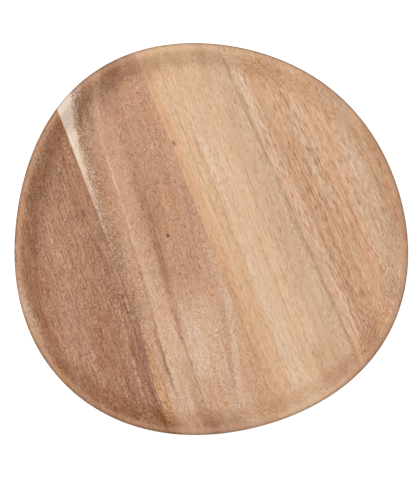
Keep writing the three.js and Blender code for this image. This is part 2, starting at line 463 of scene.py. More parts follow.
LEFT_CENTRE_STREAKS = (
    # Lighter foot, and the edge beside the centre joint
    Streak("pink_tan", -29.5, 59, lean=6, soft=(12, 14), ends=(FOOT, -34), fade=44, patchy=0.2),
    Streak("golden_brown", 1, 17, lean=6, soft=(8, 3), ends=(FOOT, -50), fade=40, patchy=0.2),
    Streak("pink_tan", 1, 9, lean=5, soft=(5, 3), ends=(-52, -8), strength=0.8, patchy=0.2),
    Streak("orange_tan", -1, 6, lean=2, soft=(4, 2), ends=(55, TOP), fade=50, strength=0.4),
    # Streaks along the floor
    Streak("light_honey", -49.1, 2, lean=7.1, soft=(1.6, 1.6), ends=(-40, 114), strength=0.7),
    Streak("tan_brown", -52.5, 4, lean=7.1, soft=(3, 2), ends=(10, 90), strength=0.5),
    Streak("tan_brown", -42.5, 4, lean=10, soft=(3, 3), ends=(-30, 45), strength=0.8),
    Streak("tan_brown", -47, 22, lean=9, soft=(6, 6), ends=(88, 110), fade=16, strength=0.4),
    Streak("honey", -57.5, 6, lean=8, soft=(3, 3), ends=(-60, -32), strength=0.5),
    Streak("fawn", -28.6, 3, lean=9, soft=(2, 2), ends=(-45, 15), strength=0.7),
    Streak("red_brown", -24.6, 1.6, lean=9, soft=(1.4, 1.4), ends=(-45, 5), strength=0.3),
    Streak("fawn", -5, 8, lean=9, soft=(4, 4), ends=(-45, 10), strength=0.5),
    Streak("pink_tan", -2, 9, lean=8, soft=(4, 4), ends=(-100, -52), strength=0.5),
    Streak("cream", -44.5, 4, lean=8, soft=(2, 2), ends=(-100, -52), strength=0.3),
    Streak("cream", -66.2, 5, lean=9, soft=(2, 4), ends=(20, 80), strength=0.35),
    Streak("cream", -27, 9, lean=9, soft=(5, 5), ends=(-94, -52), strength=0.5),
    Streak("fawn", -26, 28, lean=6, soft=(8, 8), ends=(-120, -94), fade=14, strength=0.8, patchy=0.2),
    # Speckled band beside the sapwood, darker towards the top
    Streak(
        "beige", -63.2, 9, lean=8.5, soft=(3, 6), ends=(-45, TOP), strength=0.4, speckled=0.55, patchy=0.3
    ),
    Streak(
        "umber", -54.7, 13.4, lean=7.5, soft=(5, 5), ends=(106, TOP), fade=16, strength=0.5, speckled=0.25
    ),
    Streak("umber", -57, 8, lean=9, soft=(5, 5), ends=(98, 116), fade=12, strength=0.3),
    Streak("umber", -60.4, 5, lean=9, soft=(3, 3), ends=(20, 100), strength=0.24),
    # Lines beside the foot of the left joint
    Streak("pink_tan", -43, 8, lean=8, soft=(5, 5), ends=(-55, -18), strength=0.6),
    Streak("honey", -54.8, 4.6, lean=9, taper=1.6, soft=(1, 0.8), ends=(-95, 10), patchy=0.2),
    Streak("umber", -52, 1.1, lean=10.5, soft=(1, 0.6), ends=(-100, 4), strength=0.5),
    Streak("cream", -62, 3, soft=(2, 2), ends=(-125, -88), strength=0.4),
    Streak("umber", -58.2, 2, lean=3, soft=(1, 1), ends=(-108, -56), strength=0.4),
    # Dark streak left of the knot, and the dark foot
    Streak(
        "red_brown", -35.5, 5, lean=11, soft=(5, 5), ends=(-60, 80), strength=0.55, speckled=0.15, patchy=0.6
    ),
    Streak("red_brown", -38.5, 1.4, lean=6, soft=(1, 1), ends=(-112, -45), strength=0.8),
    Streak("red_brown", -36, 7, lean=11, soft=(5, 5), ends=(FOOT, -80), strength=0.3, speckled=0.2),
    Streak(
        "red_brown", -41, 11, lean=6, soft=(6, 6), ends=(FOOT, -111), fade=18, strength=0.65, patchy=0.2
    ),
    Streak("umber", -24, 22, lean=6, soft=(8, 10), ends=(FOOT, -122), fade=14, strength=0.22, patchy=0.2),
    Streak("red_brown", -53, 32, soft=(8, 12), ends=(FOOT, -117), fade=16, strength=0.6),
    # Top wall
    Streak("umber", -41.3, 11, lean=8, soft=(4, 6), ends=(107, TOP), fade=16, strength=0.34),
    Streak("umber", -38, 16, lean=11, soft=(6, 6), ends=(114, TOP), fade=14, strength=0.38),
    Streak("umber", -27, 20, lean=8, soft=(8, 8), ends=(126, TOP), fade=10, strength=0.25),
    # Small patches at the foot and at the top
    Streak("golden_brown", -46, 12, soft=(6, 6), ends=(-115, -90), strength=0.6),
    Streak("red_brown", -24, 8, soft=(5, 5), ends=(85, 114), strength=0.25),
    # Steep lines beside the centre joint
    Streak("red_brown", 3.5, 4, lean=21, soft=(3, 3), ends=(-112, -20), strength=0.2, speckled=0.3),
    Streak("cream", 10.5, 4.5, lean=25, soft=(3, 2), ends=(-125, -45), strength=0.32),
    Streak("red_brown", -8.7, 1.4, lean=22, soft=(1.4, 1.4), ends=(-4, 32), strength=0.6),
    # Line at the edge of the sapwood
    Streak("umber", -60, 1.0, lean=17, soft=(0.8, 0.8), ends=(112, TOP), fade=6, strength=0.6),
)

LEFT_CENTRE_LIP_STREAKS = (
    Streak("cream", -73, 13.4, lean=8.3, soft=(1, 4.5), ends=(60, TOP), fade=52, patchy=0),
    Streak("cream", -97, 13, lean=32, soft=(2, 7), ends=(96, TOP), fade=12, patchy=0),
    Streak("fawn", -5, 16, soft=(6, 2), ends=(126, TOP), fade=10, strength=0.4),
    Streak("umber", -37, 24, soft=(6, 8), ends=(FOOT, -125), fade=10, strength=0.16),
    Streak(
        "ivory", -71.3, 12, lean=7.5, soft=(1, 3), ends=(92, TOP), fade=40,
        strength=0.7, speckled=-0.25, patchy=0,
    ),
)

LEFT_CENTRE_STAVE = StaveLook(
    node="left_centre_stave",
    grain=Grain(lean=10, ring_tilt=0.4, sway=1.5),
    lip="tan_brown",
    edge=0.4,
    bands=(
        Band(-60, "tan_brown"),
        Band(-52, "fawn"),
        Band(-44, "fawn"),
        Band(-36, "tan_brown"),
    ),
    streaks=LEFT_CENTRE_STREAKS,
    lip_streaks=LEFT_CENTRE_LIP_STREAKS,
    figure=Figure(fine=0.17, medium=0.09, broad=0.05, lines=0.03, tint=0.07, fine_stretch=1.6, stretch=4),
    speckle=Dashes(density=0.19, strength=0.75, width=0.8, length=1.4),
    pores=Dashes(density=0.2, strength=0.4, width=0.9, length=2.6),
    has_knot=True,
)

RIGHT_CENTRE_STREAKS = (
    # Bands and lines along the floor
    Streak("golden_brown", 4.5, 9, soft=(4, 5), ends=(FOOT, -20), fade=70, strength=0.8, patchy=0.2),
    Streak("golden_brown", 16, 4, soft=(3, 3), ends=(FOOT, -20), fade=50, strength=0.5),
    Streak("golden_brown", 14.2, 2.4, soft=(1.4, 1.4), ends=(-30, TOP), strength=0.5),
    Streak("pink_tan", 45.6, 8, soft=(4, 3), ends=(-65, 85), strength=0.7),
    Streak("golden_brown", 45.5, 2, soft=(2, 2), ends=(-60, 70), strength=0.5, patchy=0.9),
    Streak("golden_brown", 57.5, 1.2, soft=(1, 1), ends=(-65, 60), strength=0.5, patchy=0.9),
    Streak("cream", 25, 9, soft=(6, 6), ends=(FOOT, -30), fade=60, strength=0.3),
    Streak("cream", 25, 6, soft=(4, 4), ends=(30, 90), strength=0.2),
    Streak("tan_brown", 13.2, 1.2, soft=(1, 1), ends=(-90, 60), strength=0.4, patchy=0.9),
    Streak("tan_brown", 18.8, 1.2, lean=0.5, soft=(1, 1), ends=(-25, 65), strength=0.5, patchy=0.8),
    # Top wall beside the centre joint
    Streak("light_honey", 6, 9, soft=(4, 4), ends=(92, 114), fade=16, strength=0.5),
    Streak("tan_brown", 7, 16, soft=(3, 8), ends=(117, 128), fade=8, strength=0.4, patchy=0.2),
    # Beside the right joint
    Streak("cream", 56, 8, soft=(5, 5), ends=(-100, -62), strength=0.35),
    Streak("beige", 56, 16, lean=-4, soft=(6, 4), ends=(-55, TOP), strength=0, speckled=0.3),
    Streak("olive_tan", 63.6, 1.6, lean=-4.5, soft=(1.8, 1.2), strength=0.8, patchy=0.2),
    # Patches of the walls at the foot and at the top
    # Greyer wood and painted shade on the wall at the foot
    Streak("shaded_grey_brown", 30, 56, soft=(10, 10), ends=(FOOT, -122), fade=14, strength=0.12),
    Streak("tan_brown", 44.5, 6, soft=(4, 4), ends=(98, TOP), fade=16, strength=0.5, patchy=0.2),
    Streak("tan_brown", 44, 9, soft=(6, 6), ends=(FOOT, -100), fade=16, strength=0.5, patchy=0.2),
    Streak("tan_brown", 60, 34, soft=(14, 6), ends=(FOOT, -121), fade=16, strength=0.5, patchy=0),
)

RIGHT_CENTRE_LIP_STREAKS = (
    Streak("tan_brown", 64, 18, soft=(6, 2), ends=(FOOT, -116), fade=12, strength=0.5, patchy=0),
)

RIGHT_CENTRE_STAVE = StaveLook(
    node="right_centre_stave",
    grain=Grain(lean=0, ring_tilt=0.2, sway=1.0),
    lip="light_honey",
    edge=0.4,
    bands=(
        Band(5.5, "orange_tan"),
        Band(14, "light_honey"),
        Band(46, "light_honey"),
        Band(56, "beige"),
    ),
    streaks=RIGHT_CENTRE_STREAKS,
    lip_streaks=RIGHT_CENTRE_LIP_STREAKS,
    figure=Figure(fine=0.13, medium=0.05, broad=0.05, lines=0.05, tint=0.08, fine_stretch=4.5, stretch=26),
    speckle=Dashes(density=0.14, strength=0.3, width=0.9, length=4.5),
    pores=Dashes(density=0.06, strength=0.3, width=0.7, length=4),
    spots=(Spot("umber", across=4.2, along=70.5, radius=1.3, stretch=1.8, strength=0.8),),
)

RIGHT_STREAKS = (
    # Beside the right joint
    Streak("olive_tan", 65.2, 2.2, lean=-4.5, soft=(1, 1.6), strength=0.85, patchy=0.3),
    Streak("light_honey", 69.2, 7, lean=-5, soft=(4, 5), strength=0.4, patchy=0.2),
    Streak("cream", 69.2, 6, lean=-5, soft=(4, 4), ends=(55, TOP), strength=0.4, patchy=0.2),
    Streak("red_brown", 69.4, 0.9, lean=-5, soft=(0.8, 0.8), strength=0.5, patchy=1),
    Streak("tan_brown", 72.2, 1, lean=-5, soft=(0.8, 0.8), strength=0.6, patchy=1),
    # Lines along the floor
    Streak("tan_brown", 80, 10, lean=-5, soft=(6, 6), ends=(FOOT, 10), fade=60, strength=0.3),
    Streak("red_brown", 77.5, 2.2, lean=-5, soft=(1.4, 1.4), ends=(-95, 65), strength=0.45, patchy=0.7),
    Streak("red_brown", 83.4, 1.4, lean=-5, soft=(0.8, 0.8), ends=(-90, 60), strength=0.42, patchy=0.8),
    Streak("red_brown", 88.2, 1, lean=-5, soft=(0.8, 0.8), ends=(-60, 60), strength=0.4, patchy=0.9),
    Streak("cream", 91.8, 1.8, lean=-5, soft=(1.2, 1.2), ends=(-65, 50), strength=0.4),
    Streak("cream", 96, 5, lean=-5, soft=(4, 4), ends=(20, TOP), strength=0.15),
    Streak("red_brown", 95, 1.6, lean=-5, soft=(1, 1), ends=(-60, 50), strength=0.4, patchy=0.7),
    Streak("red_brown", 104.3, 2.4, lean=-5, soft=(1.6, 1.6), ends=(-75, 50), strength=0.3, patchy=0.7),
    Streak("cream", 108.5, 1.5, lean=-5.5, soft=(1, 0.8), ends=(-85, 50), strength=0.5),
    # Greyer wood and painted shade at the foot of the right wall
    Streak("shaded_grey_brown", 113, 7, lean=-4, soft=(4, 4), ends=(-62, -5), strength=0.2),
    Streak("tan_brown", 110.2, 1, lean=-5, soft=(0.8, 0.8), ends=(-85, 40), strength=0.5, patchy=1),
    # Patches at the foot and at the top
    Streak("red_brown", 84, 16, soft=(6, 8), ends=(FOOT, -96), fade=26, strength=0.36, patchy=0),
    # Greyer wood and painted shade on the lower right wall
    Streak("shaded_grey_brown", 106, 16, lean=-8, soft=(6, 6), ends=(-95, -64), fade=20, strength=0.4),
    Streak("light_honey", 84, 12, lean=-5, soft=(6, 6), ends=(50, 94), strength=0.6),
    # Right wall
    Streak(
        "beige", 124.5, 20, lean=3, bow=-8, soft=(6, 8), ends=(-80, 70),
        strength=0.75, speckled=0.15, patchy=0,
    ),
    Streak("beige", 119, 9, lean=-2, soft=(6, 6), ends=(-20, 40), strength=0.8),
    Streak("cream", 119.5, 7, lean=-2, soft=(5, 5), ends=(0, 38), strength=0.4),
    # Greyer wood and painted shade on the right wall
    Streak("shaded_grey_brown", 130, 8, bow=-8, soft=(6, 6), ends=(-60, 0), strength=0.2),
    Streak("red_brown", 137, 6, bow=-8, soft=(3, 3), ends=(-60, 25), strength=0.3, patchy=0.8),
)

RIGHT_LIP_STREAKS = (
    Streak("light_honey", 81, 38, soft=(8, 8), ends=(104, TOP), fade=12, strength=0.65, patchy=0),
    Streak("light_honey", 106, 18, soft=(8, 8), ends=(80, TOP), fade=12, strength=0.5, patchy=0),
    Streak("light_honey", 133, 9, soft=(5, 5), ends=(32, 56), fade=16, strength=0.5),
)

RIGHT_STAVE = StaveLook(
    node="right_stave",
    grain=Grain(lean=-5, ring_tilt=-0.2, sway=0.8),
    lip="copper",
    edge=0.6,
    bands=(
        Band(70, "orange_tan"),
        Band(78, "golden_brown"),
        Band(90, "golden_brown"),
        Band(104, "orange_tan"),
        Band(120, "orange_tan"),
        Band(132, "golden_brown"),
    ),
    streaks=RIGHT_STREAKS,
    lip_streaks=RIGHT_LIP_STREAKS,
    figure=Figure(fine=0.2, medium=0.08, broad=0.02, lines=0.085, tint=0.05, fine_stretch=6.5, stretch=36),
    speckle=Dashes(density=0.28, strength=0.3, width=0.7, length=12),
    pores=Dashes(density=0.4, strength=0.35, width=0.7, length=2.2),
)
STAVE_LOOKS = (LEFT_STAVE, LEFT_CENTRE_STAVE, RIGHT_CENTRE_STAVE, RIGHT_STAVE)
GLUE_LINES = ("left_glue_line", "centre_glue_line", "right_glue_line")
GLUE_DUST = Dashes(density=0.5, strength=0.4, width=0.6, length=3.0)


# Modelling: one blank, sawn into staves and glue films


@dataclass(frozen=True)
class SawLine:
    """A straight, upright cut: where it crosses Y = 0, and how far it leans towards -X as it runs to +Y."""

    across: float
    lean: float = 0.0

    @property
    def point(self):
        return Vector((self.across, 0, 0))

    @property
    def normal(self):
        return Vector((math.cos(self.lean), math.sin(self.lean), 0))

    def moved(self, distance):
        return SawLine(self.across + distance / math.cos(self.lean), self.lean)


def joint_lines(joints):
    """The three joints from left to right."""
    left = SawLine(joints.left_joint, -joints.left_lean)
    centre = SawLine(joints.centre_joint)
    right = SawLine(joints.right_joint, joints.right_lean)
    return left, centre, right


def outline_point(outline, direction):
    """The edge of the plate in one direction from the centre of its waves."""
    waves = (
        (2, outline.oval_swell, outline.oval_direction),
        (3, outline.three_corner_swell, outline.three_corner_direction),
        (4, outline.four_corner_swell, outline.four_corner_direction),
        (5, outline.five_corner_swell, outline.five_corner_direction),
    )
    reach = outline.mean_radius
    for crests, swell, crest_direction in waves:
        reach += swell * math.cos(crests * (direction - crest_direction))
    return Vector((reach * math.cos(direction), reach * math.sin(direction), 0))


def wall_slope(rim):
    """The slope of the straight part of the wall, which touches the lip's inner round and the cove."""
    rounds = rim.lip_inner_round + rim.cove_round
    spare = rounds - (rim.plate_height - rim.floor_thickness)
    return math.asin(rounds / math.hypot(rim.wall_run, spare)) - math.atan2(spare, rim.wall_run)


def upper_section(rim):
    """Points from the lip's outer edge to the floor: distance in from the outline, and height."""
    points = []
    for step in range(OUTER_ROUND_RINGS + 1):
        turned = math.pi / 2 * step / OUTER_ROUND_RINGS
        inset = rim.lip_outer_round * (1 - math.cos(turned))
        points.append((inset, rim.plate_height - rim.lip_outer_round * (1 - math.sin(turned))))

    slope = wall_slope(rim)
    for step in range(INNER_ROUND_RINGS + 1):
        turned = slope * step / INNER_ROUND_RINGS
        inset = rim.lip_width + rim.lip_inner_round * math.sin(turned)
        points.append((inset, rim.plate_height - rim.lip_inner_round * (1 - math.cos(turned))))

    floor_edge = rim.lip_width + rim.wall_run
    for step in range(COVE_RINGS + 1):
        turned = slope * (1 - step / COVE_RINGS)
        inset = floor_edge - rim.cove_round * math.sin(turned)
        points.append((inset, rim.floor_thickness + rim.cove_round * (1 - math.cos(turned))))
    points.append((floor_edge + FLAT_MARGIN, rim.floor_thickness))
    return points


def lower_section(rim):
    """Points from the outline down the rounded underside to the base: distance in, and height."""
    points = []
    for step in range(UNDERCUT_RINGS + 1):
        turned = math.pi / 2 * step / UNDERCUT_RINGS
        inset = rim.undercut_run * (1 - math.cos(turned))
        points.append((inset, rim.undercut_rise * (1 - math.sin(turned))))
    points.append((rim.undercut_run + FLAT_MARGIN, 0))
    return points


def deselect_all():
    if bpy.context.object and bpy.context.object.mode != "OBJECT":
        bpy.ops.object.mode_set(mode="OBJECT")
    bpy.ops.object.select_all(action="DESELECT")


def select_only(piece):
    deselect_all()
    piece.select_set(True)
    bpy.context.view_layer.objects.active = piece


def push_to_outline(blank, outline):
    """Moves each corner of a round disc out or in to the pebble outline, centred on the origin."""
    mesh = bmesh.from_edit_mesh(blank.data)
    mesh.verts.ensure_lookup_table()
    edge = [outline_point(outline, math.atan2(vertex.co.y, vertex.co.x)) for vertex in mesh.verts]
    middle = Vector((
        (min(point.x for point in edge) + max(point.x for point in edge)) / 2,
        (min(point.y for point in edge) + max(point.y for point in edge)) / 2,
        0,
    ))
    bpy.ops.mesh.select_mode(type="VERT")
    for index, point in enumerate(edge):
        bpy.ops.mesh.select_all(action="DESELECT")
        vertex = mesh.verts[index]
        vertex.select_set(True)
        step = point - middle - vertex.co
        bpy.ops.transform.translate(value=(step.x, step.y, 0))


def inset_along(section):
    """Insets the selected face from point to point of a section, whose heights are along its normal."""
    for (inset, height), (next_inset, next_height) in zip(section, section[1:]):
        bpy.ops.mesh.inset(thickness=next_inset - inset, depth=next_height - height)


def model_blank(scene):
    """The whole plate in one piece, before it is sawn: a disc raised to the lip, hollowed and undercut."""
    outline = scene.plate_outline
    rim = scene.plate_rim
    deselect_all()
    bpy.ops.mesh.primitive_circle_add(
        vertices=OUTLINE_POINTS,
        radius=outline.mean_radius,
        fill_type="NGON",
        location=(0, 0, rim.undercut_rise),
    )
    blank = bpy.context.object
    bpy.ops.object.transform_apply(location=True, rotation=False, scale=False)
    bpy.ops.object.mode_set(mode="EDIT")
    push_to_outline(blank, outline)

    bpy.ops.mesh.select_mode(type="FACE")
    bpy.ops.mesh.select_all(action="SELECT")
    upper = upper_section(rim)
    side = upper[0][1] - rim.undercut_rise
    bpy.ops.mesh.extrude_region_move(TRANSFORM_OT_translate={"value": (0, 0, side)})
    inset_along(upper)

    bpy.ops.mesh.select_all(action="SELECT")
    bpy.ops.mesh.normals_make_consistent(inside=False)
    bpy.ops.mesh.select_all(action="DESELECT")
    mesh = bmesh.from_edit_mesh(blank.data)
    for face in mesh.faces:
        face.select_set(face.normal.z < 0 and len(face.verts) == OUTLINE_POINTS)
    inset_along([(inset, -height) for inset, height in lower_section(rim)])
    bpy.ops.object.mode_set(mode="OBJECT")
    return blank


def copy_of(blank, name):
    """A copy of the blank with a name and a mesh of its own."""
    select_only(blank)
    bpy.ops.object.duplicate()
    piece = bpy.context.object
    piece.name = name
    piece.data.name = name
    return piece


def saw_between(piece, left, right):
    """Cuts the piece out between two saw lines. Either may be missing, where the piece runs to the rim."""
    bpy.ops.object.mode_set(mode="EDIT")
    if left:
        bpy.ops.mesh.select_all(action="SELECT")
        bpy.ops.mesh.bisect(plane_co=left.point, plane_no=left.normal, use_fill=True, clear_inner=True)
    if right:
        bpy.ops.mesh.select_all(action="SELECT")
        bpy.ops.mesh.bisect(plane_co=right.point, plane_no=right.normal, use_fill=True, clear_outer=True)
    bpy.ops.mesh.select_all(action="SELECT")
    bpy.ops.mesh.remove_doubles(threshold=SAME_POINT)
    bpy.ops.mesh.normals_make_consistent(inside=False)
    bpy.ops.object.mode_set(mode="OBJECT")
    if not piece.data.polygons:
        raise RuntimeError(f"nothing of {piece.name} is left between its saw lines")


def sink_knot_pit(piece, knot, floor_height):
    """Cuts a small tapered pit into the floor of the well where the pin knot is."""
    deselect_all()
    bpy.ops.mesh.primitive_cone_add(
        vertices=KNOT_POINTS,
        radius1=(1 - KNOT_TAPER) * knot.radius,
        radius2=(1 + KNOT_TAPER) * knot.radius,
        depth=2 * knot.depth,
        location=(knot.across, knot.along, floor_height),
    )
    cutter = bpy.context.object
    select_only(piece)
    pit = piece.modifiers.new("Knot pit", "BOOLEAN")
    pit.operation = "DIFFERENCE"
    pit.solver = "EXACT"
    pit.object = cutter
    bpy.ops.object.modifier_apply(modifier=pit.name)
    bpy.data.objects.remove(cutter)


def smooth_by_angle(piece):
    select_only(piece)
    bpy.ops.object.shade_smooth_by_angle(angle=SMOOTH_ANGLE)


def dress(piece, node, material):
    """Gives a finished piece its material, and its place in the frame."""
    piece.data.materials.clear()
    piece.data.materials.append(material)
    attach(piece, BODY)
    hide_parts(node)


# Shader nodes: a small helper, and the effects that the woods and the glue share


class Wiring:
    """Adds nodes to one node tree and joins them up."""

    COLUMN = 190

    def __init__(self, tree):
        self.tree = tree
        self.across = 0

    def add(self, kind, inputs=None, **settings):
        node = self.tree.nodes.new(kind)
        node.location = (self.across, 0)
        self.across += self.COLUMN
        for name, value in settings.items():
            setattr(node, name, value)
        for name, value in (inputs or {}).items():
            self.feed(node.inputs[name], value)
        return node

    def feed(self, socket, value):
        if isinstance(value, bpy.types.NodeSocket):
            self.tree.links.new(value, socket)
        else:
            socket.default_value = value

    def math(self, operation, first, second=0.0, third=0.0):
        node = self.add("ShaderNodeMath", operation=operation)
        for socket, value in zip(node.inputs, (first, second, third)):
            self.feed(socket, value)
        return node.outputs[0]

    def vector_math(self, operation, first, second):
        node = self.add("ShaderNodeVectorMath", operation=operation)
        self.feed(node.inputs[0], first)
        self.feed(node.inputs[1], second)
        return node.outputs["Value" if operation == "DOT_PRODUCT" else "Vector"]

    def step(self, value, low, high):
        """A smooth step from 0 at low to 1 at high."""
        inputs = {"Value": value, "From Min": low, "From Max": high}
        node = self.add("ShaderNodeMapRange", inputs, interpolation_type="SMOOTHSTEP")
        return node.outputs["Result"]

    def stretched(self, place, size):
        """A place measured in grains, whose size is in millimetres across, along and deep."""
        across, along, deep = size
        grain = self.add("ShaderNodeCombineXYZ", {"X": across, "Y": along, "Z": deep})
        return self.vector_math("DIVIDE", place, grain.outputs["Vector"])

    def noise(self, place, detail=2.0, roughness=0.5):
        """Soft noise about one unit across, from 0 to 1."""
        inputs = {"Vector": place, "Scale": 1.0, "Detail": detail, "Roughness": roughness}
        return self.add("ShaderNodeTexNoise", inputs).outputs["Fac"]

    def swing(self, place, size, reach, detail=2.0):
        """Soft noise of a size in millimetres that swings by up to reach to both sides of 0."""
        noise = self.noise(self.stretched(place, size), detail)
        return self.math("MULTIPLY", self.math("SUBTRACT", noise, 0.5), 2 * reach)

    def mix(self, share, first, second):
        """A colour that goes from first to second."""
        node = self.add("ShaderNodeMix", data_type="RGBA")
        inputs = {socket.identifier: socket for socket in node.inputs}
        self.feed(inputs["Factor_Float"], share)
        self.feed(inputs["A_Color"], first)
        self.feed(inputs["B_Color"], second)
        return next(socket for socket in node.outputs if socket.identifier == "Result_Color")

    def stain(self, base, tint, mask, strength):
        """A colour with a tint laid over it where the mask is."""
        return self.mix(self.math("MULTIPLY", mask, strength), base, tint)

    def effect(self, name, inputs):
        """The outputs of a shared effect, whose node group is built the first time that it is used."""
        tree = bpy.data.node_groups.get(name) or EFFECTS[name](name)
        return self.add("ShaderNodeGroup", inputs, node_tree=tree).outputs


# Kinds of sockets
PLACE = "NodeSocketVector"
NUMBER = "NodeSocketFloat"


def new_effect(name, inputs, outputs):
    """An empty node group: its wiring, and its entry and exit sockets. A default of None makes a place."""
    tree = bpy.data.node_groups.new(name, "ShaderNodeTree")
    for label, default in inputs.items():
        kind = PLACE if default is None else NUMBER
        socket = tree.interface.new_socket(name=label, in_out="INPUT", socket_type=kind)
        if default is not None:
            socket.default_value = default
    for label, kind in outputs.items():
        tree.interface.new_socket(name=label, in_out="OUTPUT", socket_type=kind)
    wiring = Wiring(tree)
    entry = wiring.add("NodeGroupInput").outputs
    leave = wiring.add("NodeGroupOutput").inputs
    return wiring, entry, leave


def grain_space_effect(name):
    """Places in the wood in millimetres, swayed as grain is: plain ones, and ones that follow the fibres."""
    inputs = {"Floor Height": 0.0, "Lean": 0.0, "Ring Tilt": 0.0, "Sway": 0.0}
    outputs = {"Across": NUMBER, "Along": NUMBER, "Fibre": PLACE}
    wiring, entry, leave = new_effect(name, inputs, outputs)
    place = wiring.add("ShaderNodeTexCoord").outputs["Object"]
    place = wiring.vector_math("MULTIPLY", place, (1 / MM, 1 / MM, 1 / MM))
    parts = wiring.add("ShaderNodeSeparateXYZ", {"Vector": place}).outputs

    height = wiring.math("SUBTRACT", parts["Z"], entry["Floor Height"])
    across = wiring.math("SUBTRACT", parts["X"], wiring.math("MULTIPLY", height, entry["Ring Tilt"]))
    sway = wiring.swing(place, SWAY_SIZE, 1.0, detail=1)
    across = wiring.math("MULTIPLY_ADD", sway, entry["Sway"], across)

    hundreds = wiring.math("DIVIDE", parts["Y"], 100.0)
    follow = wiring.math("SUBTRACT", across, wiring.math("MULTIPLY", hundreds, entry["Lean"]))
    fibre = wiring.add("ShaderNodeCombineXYZ", {"X": follow, "Y": parts["Y"], "Z": parts["Z"]})
    ragged = wiring.swing(place, RAGGED_SIZE, RAGGED_REACH)
    wiring.feed(leave["Across"], wiring.math("ADD", ragged, across))
    wiring.feed(leave["Along"], parts["Y"])
    wiring.feed(leave["Fibre"], fibre.outputs["Vector"])
    return wiring.tree


def streak_effect(name):
    """A mask that is 1 inside a streak along the grain, and 0 outside it."""
    inputs = {
        "Across": 0.0,
        "Along": 0.0,
        "Middle": 0.0,
        "Width": 1.0,
        "Lean": 0.0,
        "Bow": 0.0,
        "Taper": 0.0,
        "Left Edge": 1.0,
        "Right Edge": 1.0,
        "Low End": 0.0,
        "High End": 0.0,
        "End Fade": 1.0,
        "Patches": 1.0,
    }
    wiring, entry, leave = new_effect(name, inputs, {"Mask": NUMBER})
    hundreds = wiring.math("DIVIDE", entry["Along"], 100.0)
    bend = wiring.math("MULTIPLY_ADD", hundreds, entry["Bow"], entry["Lean"])
    middle = wiring.math("MULTIPLY_ADD", hundreds, bend, entry["Middle"])
    offset = wiring.math("SUBTRACT", entry["Across"], middle)
    half = wiring.math("MULTIPLY", wiring.math("MULTIPLY_ADD", hundreds, entry["Taper"], entry["Width"]), 0.5)
    edges = (
        (wiring.math("ADD", half, offset), entry["Left Edge"]),
        (wiring.math("SUBTRACT", half, offset), entry["Right Edge"]),
        (wiring.math("SUBTRACT", entry["Along"], entry["Low End"]), entry["End Fade"]),
        (wiring.math("SUBTRACT", entry["High End"], entry["Along"]), entry["End Fade"]),
    )
    mask = entry["Patches"]
    for inward, width in edges:
        reach = wiring.math("MULTIPLY", width, 0.5)
        edge = wiring.step(inward, wiring.math("MULTIPLY", reach, -1.0), reach)
        mask = wiring.math("MULTIPLY", mask, edge)
    wiring.feed(leave["Mask"], mask)
    return wiring.tree


def spot_effect(name):
    """A mask that is 1 in the middle of a small oval spot with a ragged edge, and 0 outside it."""
    inputs = {
        "Fibre": None,
        "Across": 0.0,
        "Along": 0.0,
        "Middle": 0.0,
        "Place": 0.0,
        "Radius": 1.0,
        "Stretch": 1.0,
    }
    wiring, entry, leave = new_effect(name, inputs, {"Mask": NUMBER})
    across = wiring.math("DIVIDE", wiring.math("SUBTRACT", entry["Across"], entry["Middle"]), entry["Radius"])
    along = wiring.math("DIVIDE", wiring.math("SUBTRACT", entry["Along"], entry["Place"]), entry["Radius"])
    along = wiring.math("DIVIDE", along, entry["Stretch"])
    square = wiring.math("MULTIPLY_ADD", across, across, wiring.math("MULTIPLY", along, along))
    ragged = wiring.swing(entry["Fibre"], SPOT_EDGE_SIZE, SPOT_EDGE_REACH)
    reach = wiring.math("ADD", wiring.math("SQRT", square), ragged)
    wiring.feed(leave["Mask"], wiring.math("SUBTRACT", 1.0, wiring.step(reach, *SPOT_STEP)))
    return wiring.tree


def figure_effect(name):
    """Darker (above 0) and lighter figure along the fibres at three sizes, long lines, and tinted bands.

    Dark marks are fewer and stronger than light ones, and the fine figure comes in patches. The stretches are
    how many times longer than wide the marks of the fine and of the medium figure are.
    """
    inputs = {"Fibre": None, "Fine Stretch": 1.0, "Stretch": 1.0}
    outputs = ("Fine", "Medium", "Broad", "Lines", "Tint")
    wiring, entry, leave = new_effect(name, inputs, {output: NUMBER for output in outputs})

    def swing(width, along):
        return wiring.swing(entry["Fibre"], (width, along, width), FIGURE_SWING)

    def times_stretch(along, stretch="Stretch"):
        return wiring.math("MULTIPLY", entry[stretch], along)

    def skewed(figure):
        square = wiring.math("MULTIPLY_ADD", figure, figure, -SKEW_LEVEL)
        return wiring.math("MULTIPLY_ADD", square, DARK_SKEW, figure)

    patches = swing(FINE_PATCH_WIDTH, times_stretch(FINE_PATCH_WIDTH))
    patches = wiring.math("MULTIPLY_ADD", patches, FINE_PATCHINESS, 1.0)
    patches = wiring.math("MAXIMUM", patches, LEAST_FINE)
    fine = skewed(swing(FINE_WIDTH, times_stretch(FINE_WIDTH, "Fine Stretch")))
    wiring.feed(leave["Fine"], wiring.math("MULTIPLY", fine, patches))
    wiring.feed(leave["Medium"], skewed(swing(MEDIUM_WIDTH, times_stretch(MEDIUM_WIDTH))))
    wiring.feed(leave["Broad"], skewed(swing(BROAD_WIDTH, times_stretch(BROAD_LENGTH))))
    wiring.feed(leave["Lines"], skewed(swing(LINE_WIDTH, LINE_LENGTH)))
    wiring.feed(leave["Tint"], skewed(swing(TINT_WIDTH, times_stretch(TINT_LENGTH))))
    return wiring.tree


def dash_place(wiring, entry):
    """Places along the fibres, measured in dashes."""
    return wiring.stretched(entry["Fibre"], (entry["Width"], entry["Length"], entry["Width"]))


